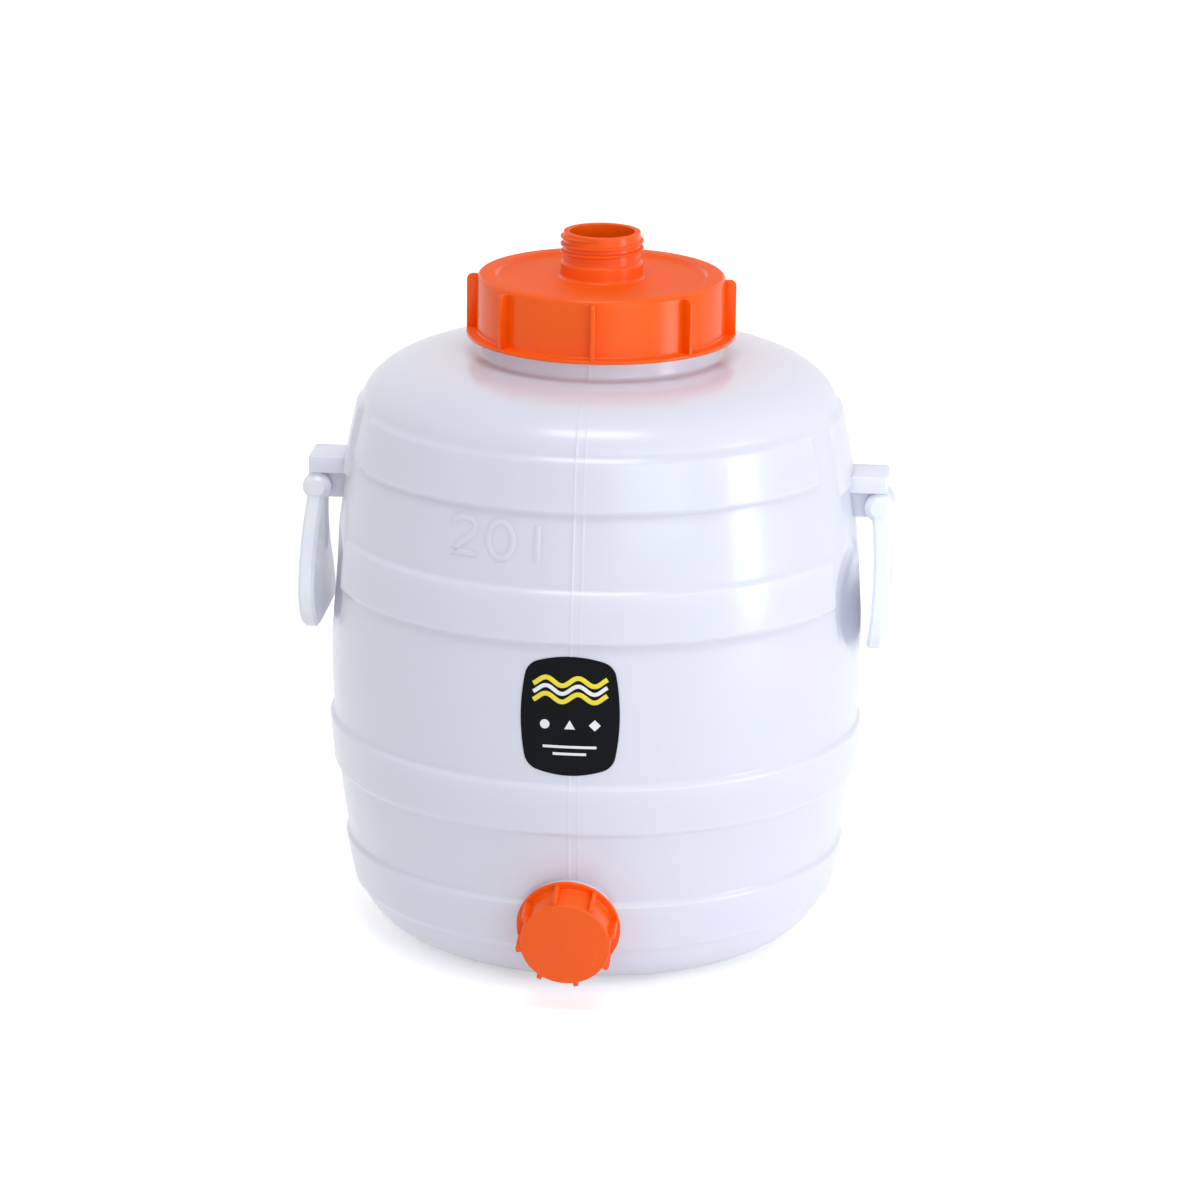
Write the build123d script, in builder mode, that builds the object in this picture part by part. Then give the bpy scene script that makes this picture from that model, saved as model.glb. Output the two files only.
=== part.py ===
from build123d import *

import os
from math import asin, cos, degrees, radians, sin, sqrt

# Twenty-litre blow-moulded drum with a screw lid, a capped outlet and two swinging handles.
# Millimetres. The origin is the centre of the base, +Z is up, the outlet looks along -Y
# and the handles hang at +X and -X.

# ---- Barrel wall -------------------------------------------------------------------
WALL = 2.5                # moulded wall
BELLY_R = 148.5           # outside of the plain wall at the belly
BELLY_Z = 166.0           # height of the belly
BELLY_ARC = 600.0         # radius of the wall's upright curve
CORNER_Z = 30.0           # where the base corner runs into the wall
SHOULDER_Z = 306.0        # where the shoulder leaves the wall
SHOULDER_H = 25.0         # rise of the shoulder
LEDGE_R = 82.0            # where the shoulder turns flat
FULLNESS = 0.56           # how square the base corner and the shoulder are
CORNER_CHORDS = 4         # straight cones in each rounded corner

FOOT_OUT_R = 86.0         # foot ring
FOOT_IN_R = 72.0
PUSH_UP = 7.0             # rise of the base inside the foot ring
PUSH_UP_R = 56.0
CHANNEL_W = 76.0          # pinch-off channel, across the base from front to back
CHANNEL_DEPTH = 4.5

HOOP_W = 30.0             # raised hoops, in pairs above and below the belly
HOOP_PROUD = 2.4
HOOP_FLANK = 2.4
HOOP_STEPS = (54.0, 124.0)
HOOP_GAP = 55.0           # half width of the handle bay, where the upper hoops stop
PAD_HALF_W = 35.0         # raised pad over each lug
PAD_OVER_HINGE = 11.0

# ---- Neck, lid and spout -----------------------------------------------------------
NECK_R = 63.5             # outside of the neck, at the thread's root
NECK_H = 39.0             # rim over the shoulder
NECK_COLLAR_R = 65.6
NECK_COLLAR_H = 15.0
NECK_ROOT = 4.0           # slope at the foot of the neck
SEAL_T = 2.5
SEAL_W = 7.0
SEAL_SIDE_GAP = 0.4       # around the outside of a seal
SEAL_FACE_GAP = 0.1       # between a seal and the cap that turns on it

LID_GAP = 0.8             # between the neck's collar and the lid's skirt
LID_WALL = 2.2
LID_SKIRT = 30.4          # skirt under the top plate
LID_PLATE = 3.8
LID_EDGE = 3.0            # sloped top edge
LID_RIM_W = 11.6          # flat rim round the recess
LID_RECESS = 1.8
LID_FLANGE_OUT = 5.9
LID_FLANGE_T = 2.0
LID_RIB_T = 2.4
LID_RIB_SHY = 2.0         # rib top under the lid's top
LID_RIB_ANGLE = -88.2     # the first rib, from +X
SPOUT_R = 21.3            # root of the spout's thread
SPOUT_BORE_R = 18.0
SPOUT_H = 23.9            # rim over the lid's top
SPOUT_COLLAR_R = 22.7
SPOUT_COLLAR_H = 6.8
RIBS = 8                  # grip ribs on the lid and on the outlet cap

# ---- Outlet and its cap ------------------------------------------------------------
OUTLET_Z = 44.5           # height of the outlet at its boss
OUTLET_STAND = 2.5        # cap flange in front of the hoop
OUTLET_BOSS_R = 26.0
OUTLET_ROOT = 12.0        # how far the outlet reaches back into the wall
OUTLET_R = 21.0           # root of the outlet's thread
OUTLET_BORE_R = 18.0
CAP_GAP = 0.5             # between the boss and the cap
CAP_THREAD_GAP = 1.3      # between the thread's root and the cap's wall
CAP_H = 20.0
CAP_WALL = 1.9
CAP_PLATE = 2.5
CAP_EDGE = 1.2
CAP_LIP = 0.5             # face past the wall
CAP_FLANGE_OUT = 4.2
CAP_FLANGE_T = 2.0
CAP_RIB_OUT = 3.5
CAP_RIB_T = 2.7
CAP_RIB_ANGLE = 12.1
CAP_SEAL_T = 2.0
CAP_SEAL_W = 4.5
GATE_R = 1.3              # moulding mark in the middle of the cap
GATE_H = 0.3

# ---- Lugs and handles --------------------------------------------------------------
HINGE_Z = 251.5
HINGE_OUT = 8.5           # hinge axis outside the belly
LUG_R = 6.6
LUG_HALF_W = 8.0
LUG_PLATE_T = 9.5
PLATE_OVER_EAR = 0.5
LUG_PLATE_HALF_W = 14.5
LUG_PLATE_OUT = 4.5       # plate's end past the hinge axis
LUG_PLATE_ROUND = 2.0
LUG_REACH = 35.0          # from the plate's end back through the wall
PIN_R = 4.0
PIN_PLAY = 0.1            # round the pin in its bore
PIN_MID_GAP = 1.5         # from the middle of the lug to a pin's end
EAR_R = 8.0
EAR_SIDE_GAP = 0.3        # between an ear and the lug
EAR_W = 7.2
EAR_DOME = 3.5
ARM_SHY = 0.4             # arm inside the ear's end
HANDLE_DROP = 76.0        # from the hinge axis to the grip's lower edge
HANDLE_HALF_W = 40.0
HANDLE_T = 9.0
HANDLE_BOW = 3.0
HANDLE_CORNER = 12.0
HANDLE_EDGE = 1.8         # bevel along the stirrup
GRIP_H = 33.5
GRIP_SIDE_H = 20.0        # upright side of the grip
ARM_W = 12.5
WINDOW_CORNER = 7.0
SCOOP_DEPTH = 7.0         # round finger scoops in the wall behind each handle
SCOOP_R = 80.0
SCOOP_APART = 28.5        # from the handles' plane to a scoop's middle
SCOOP_BELOW_HINGE = 44.5

# ---- Label -------------------------------------------------------------------------
LABEL_T = 0.3
LABEL_GLUE = 0.05         # glue line under the label
LABEL_MID_W = 53.7
LABEL_END_W = 47.0
LABEL_MID_H = 66.8
LABEL_SIDE_H = 57.0
LABEL_CORNER = 5.0

# ---- Places worked out from the sizes ----------------------------------------------
ARC_CENTRE_R = BELLY_R - BELLY_ARC
SHOULDER_TOP = SHOULDER_Z + SHOULDER_H
NECK_TOP = SHOULDER_TOP + NECK_H
LID_UNDER = NECK_TOP + SEAL_T + SEAL_FACE_GAP
LID_TOP = LID_UNDER + LID_PLATE
LID_BOTTOM = LID_UNDER - LID_SKIRT
LID_INSIDE_R = NECK_COLLAR_R + LID_GAP
LID_R = LID_INSIDE_R + LID_WALL
LID_RECESS_R = LID_R - LID_RIM_W
LID_FLANGE_R = LID_R + LID_FLANGE_OUT
SEAL_R = LID_INSIDE_R - SEAL_SIDE_GAP
HINGE_X = BELLY_R + HINGE_OUT
CAP_INSIDE_R = OUTLET_R + CAP_THREAD_GAP
CAP_R = CAP_INSIDE_R + CAP_WALL
CAP_FACE_R = CAP_R + CAP_LIP
CAP_FLANGE_R = CAP_R + CAP_FLANGE_OUT
CAP_SEAL_R = CAP_INSIDE_R - SEAL_SIDE_GAP
OUTLET_RIM = CAP_H - CAP_PLATE - SEAL_FACE_GAP - CAP_SEAL_T
REACH = 3 * BELLY_R       # long enough to pass through the barrel


def wall_r(z, inset=0.0):
    """Radius of the plain wall at height z, set in by inset."""
    return ARC_CENTRE_R + sqrt((BELLY_ARC - inset) ** 2 - (z - BELLY_Z) ** 2)


def wall_lean(z):
    """Upward unit vector (outward, up) along the wall at height z."""
    angle = asin((BELLY_Z - z) / BELLY_ARC)
    return sin(angle), cos(angle)


OUTLET_TILT = asin((BELLY_Z - OUTLET_Z) / BELLY_ARC)    # square to the wall
OUTLET_Y = wall_r(OUTLET_Z) + HOOP_PROUD + OUTLET_STAND
OUTLET = Plane(
    origin=(0, -OUTLET_Y, OUTLET_Z),
    x_dir=(1, 0, 0),
    z_dir=(0, -cos(OUTLET_TILT), -sin(OUTLET_TILT)),
)


def chords(start, pull_start, pull_end, end):
    """Points of a rounded corner, cut into straight chords."""
    curve = Bezier(start, pull_start, pull_end, end, mode=Mode.PRIVATE)
    return [tuple(curve @ (i / CORNER_CHORDS))[:2] for i in range(CORNER_CHORDS + 1)]


def wall_line(low, high, inset=0.0):
    """Points of the plain wall between two heights, one in each hoop and one between hoops."""
    gap_step = (HOOP_STEPS[0] + HOOP_STEPS[1]) / 2
    heights = [BELLY_Z + step for step in (-gap_step, -HOOP_STEPS[0], 0, HOOP_STEPS[0], gap_step)]
    return [(wall_r(z, inset), z) for z in heights if low < z < high]


def plain_form(inset):
    """The vessel's turned form without its hoops; set in, it opens through the neck."""
    corner_out, corner_up = wall_lean(CORNER_Z)
    corner = (wall_r(CORNER_Z) - inset * corner_up, CORNER_Z + inset * corner_out)
    shoulder_out, shoulder_up = wall_lean(SHOULDER_Z)
    shoulder = (wall_r(SHOULDER_Z) - inset * shoulder_up, SHOULDER_Z + inset * shoulder_out)
    corner_pull = FULLNESS * (CORNER_Z - inset)
    shoulder_pull = FULLNESS * (SHOULDER_H - inset)
    floor_z = PUSH_UP + inset
    ledge_z = SHOULDER_TOP - inset
    collar_r = NECK_COLLAR_R - inset
    collar_z = SHOULDER_TOP + NECK_COLLAR_H
    neck_r = NECK_R - inset
    rim_z = NECK_TOP + inset
    outline = [(0, floor_z), (PUSH_UP_R, floor_z), (FOOT_IN_R, inset)]
    outline += chords(
        (FOOT_OUT_R, inset),
        (FOOT_OUT_R + FULLNESS * (corner[0] - FOOT_OUT_R), inset),
        (corner[0] - corner_pull * corner_out, corner[1] - corner_pull * corner_up),
        corner,
    )
    outline += wall_line(CORNER_Z, SHOULDER_Z, inset)
    outline += chords(
        shoulder,
        (shoulder[0] + shoulder_pull * shoulder_out, shoulder[1] + shoulder_pull * shoulder_up),
        (LEDGE_R + FULLNESS * (shoulder[0] - LEDGE_R), ledge_z),
        (LEDGE_R, ledge_z),
    )
    outline += [
        (collar_r + NECK_ROOT, ledge_z),
        (collar_r, ledge_z + NECK_ROOT),
        (collar_r, collar_z),
        (neck_r, collar_z),
        (neck_r, rim_z),
        (0, rim_z),
    ]
    with BuildPart() as form:
        with BuildSketch(Plane.YZ):
            with BuildLine():
                Polyline(*outline, close=True)
            make_face()
        revolve(axis=Axis.Z)
        # Finger scoops: a pair of round hollows behind each handle, with a ridge between them.
        scoop_z = HINGE_Z - SCOOP_BELOW_HINGE
        scoop_off = wall_r(scoop_z) - SCOOP_DEPTH + SCOOP_R
        lean = asin(SCOOP_APART / wall_r(scoop_z))
        for side in (1, -1):
            for end in (1, -1):
                with Locations((side * scoop_off * cos(lean), end * scoop_off * sin(lean), scoop_z)):
                    Sphere(SCOOP_R + inset, mode=Mode.SUBTRACT)
        # Pinch-off channel across the base.
        half_w = CHANNEL_W / 2 + inset * (sqrt(2) - 1)
        depth = CHANNEL_DEPTH + inset
        below = depth + 1
        with BuildSketch(Plane.XZ):
            with Locations((0, depth)):
                Polygon(
                    (-half_w, 0), (-half_w - below, -below), (half_w + below, -below), (half_w, 0), align=None
                )
        extrude(amount=REACH, both=True, mode=Mode.SUBTRACT)
    return form.part


def band(low, high, inset, bay=None):
    """A raised band round the wall from low to high, its flanks running on into the wall."""
    face_low = low + inset / 2 + HOOP_FLANK
    face_high = high - inset / 2 - HOOP_FLANK
    root_low = face_low - 2 * HOOP_FLANK
    root_high = face_high + 2 * HOOP_FLANK
    middle = (low + high) / 2
    with BuildPart() as ring:
        with BuildSketch(Plane.YZ):
            with BuildLine():
                Polyline(
                    (wall_r(face_low, inset) + HOOP_PROUD, face_low),
                    (wall_r(face_high, inset) + HOOP_PROUD, face_high),
                    (wall_r(root_high, inset) - HOOP_PROUD, root_high),
                    (wall_r(root_low, inset) - HOOP_PROUD, root_low),
                    close=True,
                )
            make_face()
        revolve(axis=Axis.Z)
        if bay == "outside":
            with Locations((0, 0, middle)):
                Box(REACH, 2 * (HOOP_GAP + inset), REACH, mode=Mode.SUBTRACT)
        if bay == "inside":
            with Locations((0, 0, middle)):
                Box(REACH + HOOP_W, 2 * (PAD_HALF_W - inset), REACH, mode=Mode.INTERSECT)
    return ring.part


def vessel(inset):
    """The whole moulded form with every face set in by inset."""
    with BuildPart() as form:
        add(plain_form(inset))
        for step in HOOP_STEPS:
            low = BELLY_Z - step - HOOP_W / 2
            add(band(low, low + HOOP_W, inset))
            high = BELLY_Z + step - HOOP_W / 2
            add(band(high, high + HOOP_W, inset, bay="outside"))
        pad_top = BELLY_Z + HOOP_STEPS[1] + HOOP_W / 2
        add(band(HINGE_Z + PAD_OVER_HINGE, pad_top, inset, bay="inside"))
        # Boss that carries the outlet.
        with BuildSketch(OUTLET.offset(-CAP_GAP - inset)):
            Circle(OUTLET_BOSS_R - inset)
        extrude(amount=-OUTLET_ROOT)
    return form.part


# ---- Barrel ------------------------------------------------------------------------
outside_form = vessel(0)
inside_form = vessel(WALL)

with BuildPart() as lug:
    plate_low = HINGE_Z + EAR_R + PLATE_OVER_EAR
    with BuildSketch(Plane.XY.offset(plate_low)):
        with Locations((HINGE_X + LUG_PLATE_OUT, 0)):
            Rectangle(LUG_REACH, 2 * LUG_PLATE_HALF_W, align=(Align.MAX, Align.CENTER))
    extrude(amount=LUG_PLATE_T)
    fillet(lug.edges().filter_by(Axis.Z).group_by(Axis.X)[-1], LUG_PLATE_ROUND)
    with BuildSketch(Plane.XZ):
        with Locations((HINGE_X, HINGE_Z)):
            Circle(LUG_R)
            Rectangle(LUG_REACH - LUG_PLATE_OUT, 2 * LUG_R, align=(Align.MAX, Align.CENTER))
            Rectangle(LUG_REACH - LUG_PLATE_OUT, plate_low - HINGE_Z, align=(Align.MAX, Align.MIN))
            Rectangle(LUG_R, plate_low - HINGE_Z, align=(Align.CENTER, Align.MIN))
    extrude(amount=LUG_HALF_W, both=True)

with BuildPart() as barrel:
    add(outside_form)
    add(lug.part)
    add(lug.part.mirror(Plane.YZ))
    # Outlet neck, square to the wall.
    with BuildSketch(OUTLET.offset(OUTLET_RIM)):
        Circle(OUTLET_R)
    extrude(amount=-OUTLET_RIM - OUTLET_ROOT / 2)
    add(inside_form, mode=Mode.SUBTRACT)
    with BuildSketch(OUTLET.offset(OUTLET_RIM)):
        Circle(OUTLET_BORE_R)
    extrude(amount=-OUTLET_RIM - 2 * OUTLET_ROOT, mode=Mode.SUBTRACT)
    for side in (1, -1):
        with BuildSketch(Plane.XZ):
            with Locations((side * HINGE_X, HINGE_Z)):
                Circle(PIN_R + PIN_PLAY)
        extrude(amount=LUG_HALF_W, both=True, mode=Mode.SUBTRACT)

# ---- Lid with its spout ------------------------------------------------------------
with BuildPart() as lid_rib:
    with BuildSketch(Plane.XZ):
        with BuildLine():
            rib_top = LID_TOP - LID_RIB_SHY
            rib_foot = LID_BOTTOM + LID_FLANGE_T / 2
            Polyline(
                (LID_FLANGE_R, rib_top - LID_EDGE),
                (LID_FLANGE_R, rib_foot),
                (LID_R - LID_WALL / 2, rib_foot),
                (LID_R - LID_WALL / 2, rib_top),
                (LID_FLANGE_R - LID_EDGE, rib_top),
                close=True,
            )
        make_face()
    extrude(amount=LID_RIB_T / 2, both=True)

with BuildPart() as lid:
    with BuildSketch(Plane.XZ):
        with BuildLine():
            recess_z = LID_TOP - LID_RECESS
            spout_rim = LID_TOP + SPOUT_H
            edge_knee = LID_EDGE * (1 - sqrt(0.5))
            Polyline(
                (LID_R - edge_knee, LID_TOP - edge_knee),
                (LID_R - LID_EDGE, LID_TOP),
                (LID_RECESS_R + LID_RECESS, LID_TOP),
                (LID_RECESS_R, recess_z),
                (SPOUT_COLLAR_R, recess_z),
                (SPOUT_COLLAR_R, LID_TOP + SPOUT_COLLAR_H),
                (SPOUT_R, LID_TOP + SPOUT_COLLAR_H),
                (SPOUT_R, spout_rim),
                (SPOUT_BORE_R, spout_rim),
                (SPOUT_BORE_R, LID_UNDER),
                (LID_INSIDE_R, LID_UNDER),
                (LID_INSIDE_R, LID_BOTTOM),
                (LID_FLANGE_R, LID_BOTTOM),
                (LID_FLANGE_R, LID_BOTTOM + LID_FLANGE_T),
                (LID_R, LID_BOTTOM + LID_FLANGE_T),
                (LID_R, LID_TOP - LID_EDGE),
                close=True,
            )
        make_face()
    revolve(axis=Axis.Z)
    with PolarLocations(0, RIBS, start_angle=LID_RIB_ANGLE):
        add(lid_rib.part)

with BuildPart() as lid_seal:
    with BuildSketch(Plane.XY.offset(NECK_TOP)):
        Circle(SEAL_R)
        Circle(SEAL_R - SEAL_W, mode=Mode.SUBTRACT)
    extrude(amount=SEAL_T)

# ---- Outlet cap, drawn upright and then laid on the outlet's axis --------------------
with BuildPart() as cap_rib:
    with BuildSketch(Plane.XZ):
        with Locations((CAP_R - CAP_WALL / 2, CAP_FLANGE_T / 2)):
            Rectangle(
                CAP_RIB_OUT + CAP_WALL / 2,
                CAP_H - CAP_EDGE - CAP_FLANGE_T / 2,
                align=(Align.MIN, Align.MIN),
            )
    extrude(amount=CAP_RIB_T / 2, both=True)
    chamfer(cap_rib.edges().group_by(Axis.X)[-1].filter_by(Axis.Z), CAP_RIB_T / 4)

with BuildPart() as cap_form:
    with BuildSketch(Plane.XZ):
        with BuildLine():
            cap_under = CAP_H - CAP_PLATE
            Polyline(
                (0, CAP_H + GATE_H),
                (GATE_R, CAP_H + GATE_H),
                (GATE_R + GATE_H, CAP_H),
                (CAP_FACE_R - CAP_EDGE, CAP_H),
                (CAP_FACE_R, CAP_H - CAP_EDGE),
                (CAP_FACE_R, cap_under),
                (CAP_R, cap_under),
                (CAP_R, CAP_FLANGE_T),
                (CAP_FLANGE_R, CAP_FLANGE_T),
                (CAP_FLANGE_R, 0),
                (CAP_INSIDE_R, 0),
                (CAP_INSIDE_R, cap_under),
                (0, cap_under),
                close=True,
            )
        make_face()
    revolve(axis=Axis.Z)
    with PolarLocations(0, RIBS, start_angle=CAP_RIB_ANGLE):
        add(cap_rib.part)

with BuildPart() as outlet_cap:
    add(cap_form.part.moved(OUTLET.location))

with BuildPart() as outlet_seal:
    with BuildSketch(OUTLET.offset(OUTLET_RIM)):
        Circle(CAP_SEAL_R)
        Circle(CAP_SEAL_R - CAP_SEAL_W, mode=Mode.SUBTRACT)
    extrude(amount=CAP_SEAL_T)

# ---- Handles: a bowed stirrup with two ears and two stub pins ------------------------
ear_in = LUG_HALF_W + EAR_SIDE_GAP
arm_top = ear_in + EAR_W - ARM_SHY
grip_low = HINGE_Z - HANDLE_DROP
grip_top = grip_low + GRIP_H
bow_r = ((HANDLE_DROP / 2) ** 2 + HANDLE_BOW**2) / (2 * HANDLE_BOW)
bow_x = HINGE_X + HANDLE_BOW - bow_r

with BuildPart() as ear:
    with BuildSketch(Plane.XZ.offset(-ear_in)):
        with Locations((HINGE_X, HINGE_Z)):
            Circle(EAR_R)
    extrude(amount=-EAR_W)
    chamfer(ear.edges().group_by(Axis.Y)[-1], EAR_DOME)
    with BuildSketch(Plane.XZ.offset(-PIN_MID_GAP)):
        with Locations((HINGE_X, HINGE_Z)):
            Circle(PIN_R)
    extrude(amount=PIN_MID_GAP - ear_in - EAR_W / 2)

with BuildPart() as handle_right:
    with BuildSketch(Plane.YZ) as outline:
        Polygon(
            (arm_top, HINGE_Z),
            (arm_top, HINGE_Z - EAR_R),
            (HANDLE_HALF_W, grip_low + GRIP_SIDE_H),
            (HANDLE_HALF_W, grip_low),
            (-HANDLE_HALF_W, grip_low),
            (-HANDLE_HALF_W, grip_low + GRIP_SIDE_H),
            (-arm_top, HINGE_Z - EAR_R),
            (-arm_top, HINGE_Z),
            align=None,
        )
        fillet(outline.vertices().filter_by(lambda v: v.Y < HINGE_Z - 1), HANDLE_CORNER)
    extrude(amount=REACH)
    with BuildSketch(Plane.YZ) as window:
        Polygon(
            (ear_in, HINGE_Z + EAR_R),
            (ear_in, HINGE_Z - EAR_R),
            (HANDLE_HALF_W - ARM_W, grip_top),
            (ARM_W - HANDLE_HALF_W, grip_top),
            (-ear_in, HINGE_Z - EAR_R),
            (-ear_in, HINGE_Z + EAR_R),
            align=None,
        )
        fillet(window.vertices().filter_by(lambda v: v.Y < HINGE_Z), WINDOW_CORNER)
    extrude(amount=REACH, mode=Mode.SUBTRACT)
    with BuildSketch(Plane.XZ):
        with Locations((bow_x, HINGE_Z - HANDLE_DROP / 2)):
            Circle(bow_r + HANDLE_T / 2)
            Circle(bow_r - HANDLE_T / 2, mode=Mode.SUBTRACT)
    extrude(amount=HANDLE_HALF_W, both=True, mode=Mode.INTERSECT)
    bowed_faces = handle_right.faces().filter_by(GeomType.CYLINDER).sort_by(SortBy.AREA)[-2:]
    chamfer([edge for edge in bowed_faces.edges() if edge.center().Z < HINGE_Z - 1], HANDLE_EDGE)
    add(ear.part)
    add(ear.part.mirror(Plane.XZ))

with BuildPart() as handle_left:
    add(handle_right.part.mirror(Plane.YZ))

# ---- Label -------------------------------------------------------------------------
with BuildPart() as label:
    half_w, half_h = LABEL_END_W / 2, LABEL_SIDE_H / 2
    with BuildSketch(Plane(origin=(0, 0, BELLY_Z), x_dir=(1, 0, 0), z_dir=(0, -1, 0))) as sticker:
        with BuildLine():
            ThreePointArc((-half_w, half_h), (0, LABEL_MID_H / 2), (half_w, half_h))
            ThreePointArc((half_w, half_h), (LABEL_MID_W / 2, 0), (half_w, -half_h))
            ThreePointArc((half_w, -half_h), (0, -LABEL_MID_H / 2), (-half_w, -half_h))
            ThreePointArc((-half_w, -half_h), (-LABEL_MID_W / 2, 0), (-half_w, half_h))
        make_face()
        fillet(sticker.vertices(), LABEL_CORNER)
    extrude(amount=REACH)
    with BuildSketch(Plane.YZ):
        with BuildLine():
            back = [(-r - LABEL_GLUE, z) for r, z in wall_line(BELLY_Z - LABEL_MID_H, BELLY_Z + LABEL_MID_H)]
            face = [(y - LABEL_T, z) for y, z in back]
            Polyline(*back, *reversed(face), close=True)
        make_face()
    revolve(axis=Axis.Z, mode=Mode.INTERSECT)

# ---- Files -------------------------------------------------------------------------
pieces = {
    "barrel": barrel,
    "label": label,
    "lid": lid,
    "lid_seal": lid_seal,
    "outlet_cap": outlet_cap,
    "outlet_seal": outlet_seal,
    "handle_left": handle_left,
    "handle_right": handle_right,
}
os.makedirs("parts", exist_ok=True)
for name, piece in pieces.items():
    piece.part.label = name
    export_step(piece.part, f"parts/{name}.step")
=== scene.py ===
from math import asin, atan2, ceil, cos, hypot, pi, radians, sin, sqrt

import bmesh
import bpy
from bpy.props import FloatProperty, FloatVectorProperty, IntProperty, PointerProperty
from mathutils import Matrix, Vector


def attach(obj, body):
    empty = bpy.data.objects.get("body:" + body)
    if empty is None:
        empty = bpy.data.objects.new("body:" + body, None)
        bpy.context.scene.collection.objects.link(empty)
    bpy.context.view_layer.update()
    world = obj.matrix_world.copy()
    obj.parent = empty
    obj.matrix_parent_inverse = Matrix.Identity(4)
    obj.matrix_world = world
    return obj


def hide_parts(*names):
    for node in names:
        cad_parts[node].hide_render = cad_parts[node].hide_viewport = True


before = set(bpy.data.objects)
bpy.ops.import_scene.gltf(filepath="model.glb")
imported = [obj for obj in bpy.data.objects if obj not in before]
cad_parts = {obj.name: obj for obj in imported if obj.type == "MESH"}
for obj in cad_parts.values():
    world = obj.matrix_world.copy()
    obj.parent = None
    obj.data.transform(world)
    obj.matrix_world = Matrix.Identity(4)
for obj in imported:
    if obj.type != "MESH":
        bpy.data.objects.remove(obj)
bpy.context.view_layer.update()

bl_info = {
    "name": "Moulded drum",
    "version": (1, 0, 0),
    "blender": (4, 5, 0),
    "location": "View3D > Sidebar > Drum",
    "description": "Dresses a blow-moulded liquid drum with a screw lid, an outlet cap and two handles",
    "category": "Object",
}

MM = 0.001

# ---- Form of the barrel, millimetres -------------------------------------------------
WALL = 2.5
BELLY_R = 148.5
BELLY_Z = 166.0
BELLY_ARC = 600.0
CORNER_Z = 30.0
SHOULDER_Z = 306.0
SHOULDER_TOP = 331.0
LEDGE_R = 82.0
FULLNESS = 0.56
FOOT_OUT_R = 86.0
FOOT_IN_R = 72.0
PUSH_UP = 7.0
PUSH_UP_R = 56.0
HUB_R = 2.0               # first ring round the middle of the base
CHANNEL_HALF_W = 38.0
CHANNEL_DEPTH = 4.5
CHANNEL_EDGE = 1.2        # softness of its rims
CHANNEL_SHIFT = 0.41      # how far its sloped flank moves for each mm of inset
BASE_ZONE = 20.0          # under this height the channel shapes the wall, over it the hoops do
HOOP_W = 30.0
HOOP_PROUD = 2.4
HOOP_EDGE = 3.4           # width of a hoop's rounded flank
HOOP_STEPS = (54.0, 124.0)
HOOP_GAP = 55.0
PAD_HALF_W = 35.0
PAD_LOW = 262.5
NECK_R = 63.5
NECK_TOP = 370.0
NECK_COLLAR_R = 65.6
NECK_COLLAR_TOP = 346.0
NECK_ROOT = 4.0
RIM_EASE = 0.6            # rounding of the neck's rim and of its collar
RIM_EASE_SIDE = 0.2
RIM_EASE_TOP = 0.15
SCOOP_Z = 207.0
SCOOP_R = 80.0
SCOOP_DEPTH = 7.0
SCOOP_APART = 28.5
SCOOP_EDGE = 1.6          # softness of a scoop's rim
SEAM_H = 0.35             # parting line: a raised line with a fainter one beside it
SEAM_HALF_W = 0.9
SEAM_TWIN_X = 5.0
SEAM_TWIN = 0.6
SEAM_OVER_HOOP = 0.55     # what is left of it over the front of a hoop
COARSE_RUN = 7.0          # rows in a run of the base, for a row step of 1 mm
PLAIN_ROWS = 5            # row step away from the flanks, in row steps
INSIDE_ROWS = 2.6         # row step and column step of the wall's inside, in those of its outside
INSIDE_COLUMNS = 2.5

HINGE_X = 157.0
HINGE_Z = 251.5
LUG_R = 6.6
LUG_HALF_W = 8.0
LUG_PLATE_LOW = 260.0
LUG_PLATE_TOP = 269.5
LUG_PLATE_HALF_W = 14.5
LUG_PLATE_OUT = 4.5
LUG_DEPTH = 26.0
LUG_BORE_R = 4.1
LUG_RISE = 3.0            # upright side over the hinge, then a slope under the plate
LUG_IN_PLATE = 0.5        # how far the lug stops short of the plate's underside
LUG_PLATE_ROUND = 2.0
LUG_PLATE_EDGE = 0.7

# ---- Lid, outlet and cap, millimetres ------------------------------------------------
LID_UNDER = 372.6
LID_TOP = 376.4
LID_BOTTOM = 342.2
LID_INSIDE_R = 66.4
LID_R = 68.6
LID_EDGE = 3.0
LID_RECESS_R = 57.0
LID_RECESS = 1.8
LID_FLANGE_R = 74.5
LID_FLANGE_T = 2.0
LID_RIB_T = 2.4
LID_RIB_TOP = 374.4
LID_RIB_ANGLE = -88.2
LID_RIB_ROOT = 1.2        # how far a rib reaches into the skirt
LID_RIB_EDGE = 0.5
LID_ROUNDING = {
    0: LID_EDGE, 1: 0.6, 2: 0.8, 3: 2.0, 4: 0.8, 5: 0.4, 6: 0.6,
    7: 0.6, 8: 1.0, 10: 0.5, 11: 0.6, 12: 0.6, 13: 1.2,
}
SPOUT_R = 21.3
SPOUT_BORE_R = 18.0
SPOUT_TOP = 400.3
SPOUT_COLLAR_R = 22.7
SPOUT_COLLAR_TOP = 383.2
SPOUT_COLLAR_SLOPE = 0.8
RIBS = 8

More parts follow.
